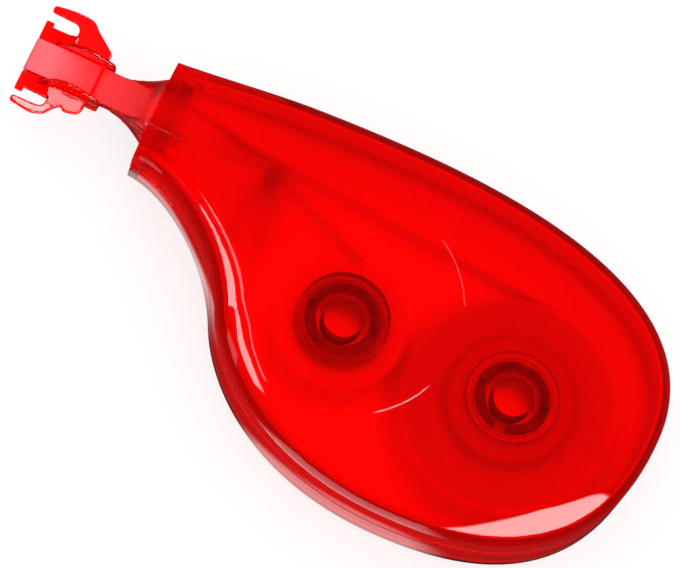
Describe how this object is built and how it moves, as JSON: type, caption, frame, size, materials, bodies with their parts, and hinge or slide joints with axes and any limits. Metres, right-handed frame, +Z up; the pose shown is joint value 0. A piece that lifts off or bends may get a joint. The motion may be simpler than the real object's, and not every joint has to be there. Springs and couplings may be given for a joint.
{
  "type": "correction tape",
  "caption": "Comma-shaped clear red correction tape dispenser with a flat winged tip, a geared supply reel with a slip clutch, and a take-up reel.",
  "frame": {"origin": "middle of the whole object's outline, on the surface it lies on", "axes": "+X from the tip to the rear, +Y across the flat face, +Z up through the thickness"},
  "size_m": [0.088, 0.043, 0.015],
  "materials": {
    "red_clear_plastic": "clear, polished",
    "reel_plastic": "moulded satin",
    "washer_rubber": "matt",
    "tape_film": "matt white coating",
    "backing_paper": "smooth red release backing"
  },
  "bodies": {
    "case": {"case_bottom": "red_clear_plastic", "case_top": "red_clear_plastic", "tip_head": "red_clear_plastic", "feed_run": "tape_film", "return_run": "backing_paper"},
    "supply_drive": {"supply_gear": "reel_plastic", "lower_washer": "washer_rubber", "upper_washer": "washer_rubber", "clutch_cap": "reel_plastic"},
    "supply_reel": {"supply_core": "reel_plastic", "tape_roll": "tape_film", "supply_flange": "reel_plastic"},
    "takeup": {"takeup_reel": "reel_plastic", "takeup_flange": "reel_plastic", "spent_roll": "backing_paper"}
  },
  "joints": [
    {"name": "supply_spin", "type": "hinge", "parent": "case", "child": "supply_drive", "pos_m": [0.026, -0.0019, 0.0075], "axis": [0, 0, 1], "continuous": true},
    {"name": "clutch_slip", "type": "hinge", "parent": "supply_drive", "child": "supply_reel", "pos_m": [0.026, -0.0019, 0.0075], "axis": [0, 0, 1], "continuous": true},
    {"name": "takeup_spin", "type": "hinge", "parent": "case", "child": "takeup", "pos_m": [0.0038, -0.0019, 0.0075], "axis": [0, 0, 1], "continuous": true}
  ],
  "couplings": [
    {"joint": "takeup_spin", "follows": "supply_spin", "ratio": -1.8462}
  ]
}
